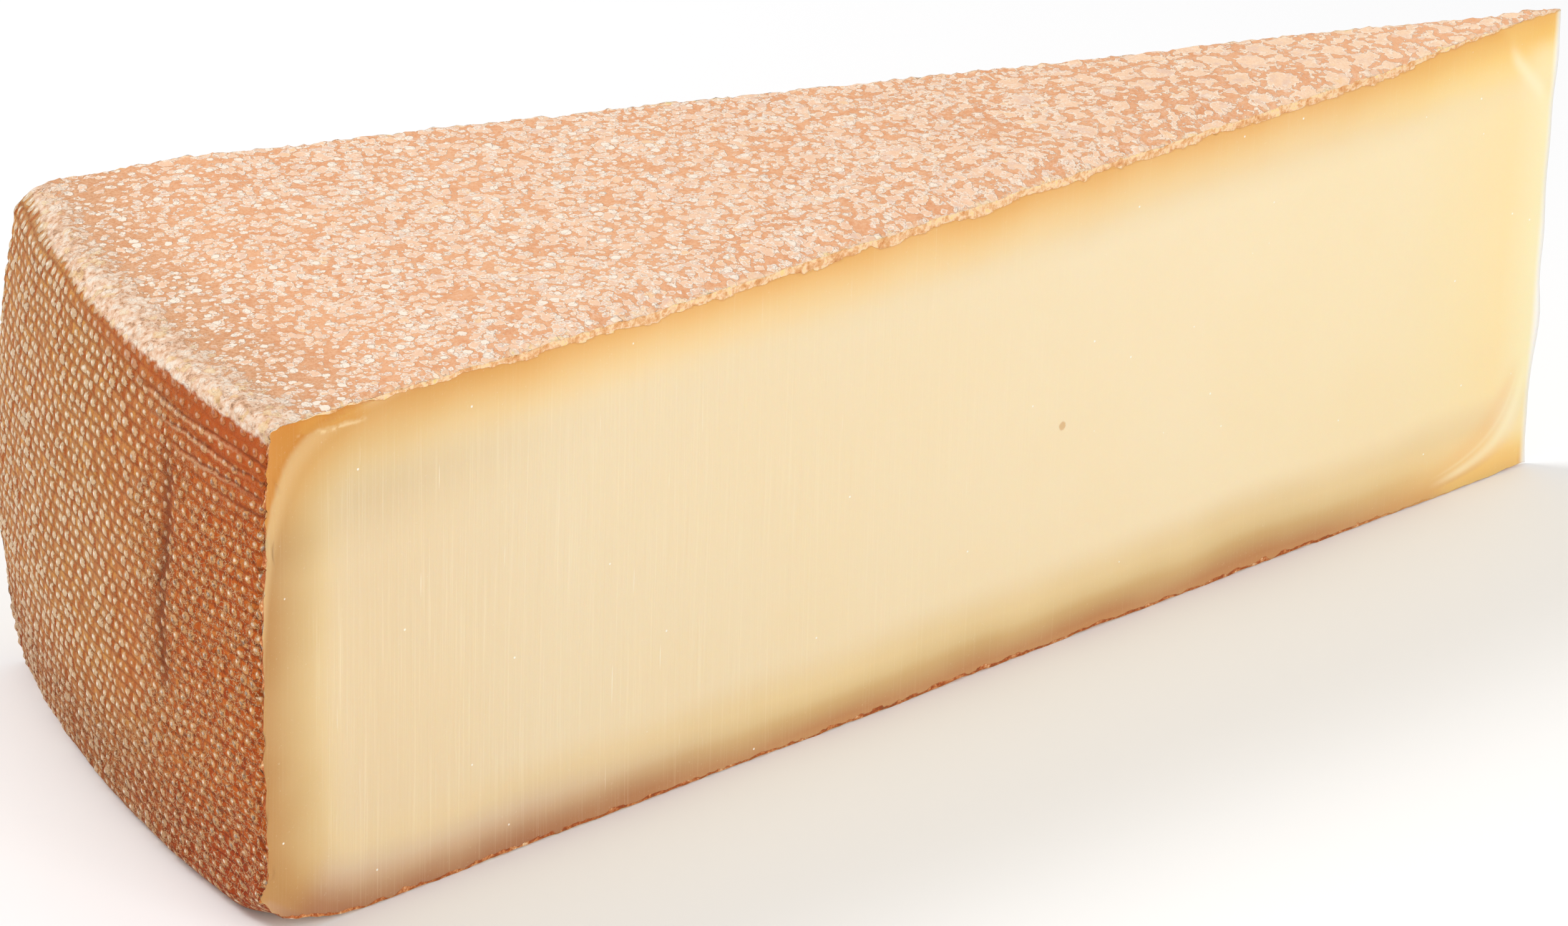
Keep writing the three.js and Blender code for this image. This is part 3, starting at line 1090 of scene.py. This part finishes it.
def add_map(mesh, rest, sides):
    """The map that the bake uses: each side laid flat, the rinds larger than the rest."""
    layer = mesh.uv_layers.new(name="OFBake")
    corner_point = np.empty(len(mesh.loops), int)
    mesh.loops.foreach_get("vertex_index", corner_point)
    face_corners = np.empty(len(mesh.polygons), int)
    mesh.polygons.foreach_get("loop_total", face_corners)
    corner_side = np.repeat(sides, face_corners)
    spots = np.zeros((len(corner_point), 2))
    for k, name in enumerate(SIDES):
        here = corner_side == k
        corner, scale = MAP_PLACES[name]
        spots[here] = (corner + scale * flat_places(rest[corner_point[here]], name)) / MAP_SIZE
    layer.uv.foreach_set("vector", spots.astype(np.float32).ravel())


def added(name, data):
    """A new object with that data, in the scene."""
    made = bpy.data.objects.new(name, data)
    bpy.context.scene.collection.objects.link(made)
    return made


def cheese_wedge():
    """The whole wedge as one object."""
    rest, faces, sides = build_surface()
    sides_of = np.zeros((len(rest), len(SIDES)), bool)
    for face, side in zip(faces, sides):
        sides_of[list(face), side] = True
    moved, rind = displaced(rest, sides_of)

    mesh = bpy.data.meshes.new("cheese_wedge_surface")
    mesh.from_pydata(((moved + TIP) * MM).tolist(), [], faces)
    mesh.polygons.foreach_set("use_smooth", np.ones(len(faces), bool))
    mesh.materials.append(rind_material())
    mesh.materials.append(paste_material())
    is_cut = np.isin(sides, [SIDES.index("near"), SIDES.index("far")])
    mesh.polygons.foreach_set("material_index", is_cut.astype(np.int32))
    mesh.attributes.new("rind", "FLOAT", "POINT").data.foreach_set("value", rind.astype(np.float32))
    add_map(mesh, rest, sides)
    mesh.update()
    return added("natural_rind_cheese_wedge", mesh)


# ---- Studio ----

CAMERA_PLACE = (-0.6062, -0.9755, 0.5807)
CAMERA_AZIMUTH, CAMERA_DOWN, CAMERA_ROLL = 31.17, 25.47, 1.85  # degrees
CAMERA_LENS = 156.5

FLOOR_SIZE = 12.0  # half its width
FLOOR_COLOUR = (0.95, 0.95, 0.955, 1)
BACKGROUND = (1.0, 1.0, 1.0, 1)
BACKGROUND_STRENGTH = 0.68
LIGHTS = (("key", (-1.0, 0.7, 1.3), 0.6, 12.5), ("front", (0.1, -1.7, 1.1), 1.2, 12))  # size, power
LIT_PLACE = (0.0, 0.0, 0.05)


def add_camera():
    data = bpy.data.cameras.new("camera")
    data.lens = CAMERA_LENS
    camera = added("camera", data)
    azimuth, down, roll = map(math.radians, (CAMERA_AZIMUTH, CAMERA_DOWN, CAMERA_ROLL))
    camera.matrix_world = (
        Matrix.Translation(CAMERA_PLACE)
        @ Matrix.Rotation(-azimuth, 4, "Z")
        @ Matrix.Rotation(math.pi / 2 - down, 4, "X")
        @ Matrix.Rotation(roll, 4, "Z")
    )
    bpy.context.scene.camera = camera


def add_light(name, place, size, power):
    data = bpy.data.lights.new(name, "AREA")
    data.size = size
    data.energy = power
    light = added(name, data)
    light.location = place
    light.rotation_euler = (Vector(LIT_PLACE) - Vector(place)).to_track_quat("-Z", "Y").to_euler()


def add_floor():
    mesh = bpy.data.meshes.new("floor")
    corners = [(x * FLOOR_SIZE, y * FLOOR_SIZE, 0) for x, y in ((-1, -1), (1, -1), (1, 1), (-1, 1))]
    mesh.from_pydata(corners, [], [(0, 1, 2, 3)])
    material = bpy.data.materials.new("pale_floor")
    material.use_nodes = True
    shader = material.node_tree.nodes["Principled BSDF"]
    shader.inputs["Base Color"].default_value = FLOOR_COLOUR
    shader.inputs["Roughness"].default_value = 0.9
    mesh.materials.append(material)
    floor = added("floor", mesh)


def add_studio():
    """A pale floor under a white sky, lit by two soft lamps."""
    add_floor()
    world = bpy.data.worlds.new("studio")
    world.use_nodes = True
    background = world.node_tree.nodes["Background"]
    background.inputs["Color"].default_value = BACKGROUND
    background.inputs["Strength"].default_value = BACKGROUND_STRENGTH
    bpy.context.scene.world = world
    bpy.context.scene.view_settings.view_transform = "Standard"
    for light in LIGHTS:
        add_light(*light)


add_camera()
wedge = cheese_wedge()
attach(wedge, "root")
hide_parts("cheese_wedge")
add_studio()
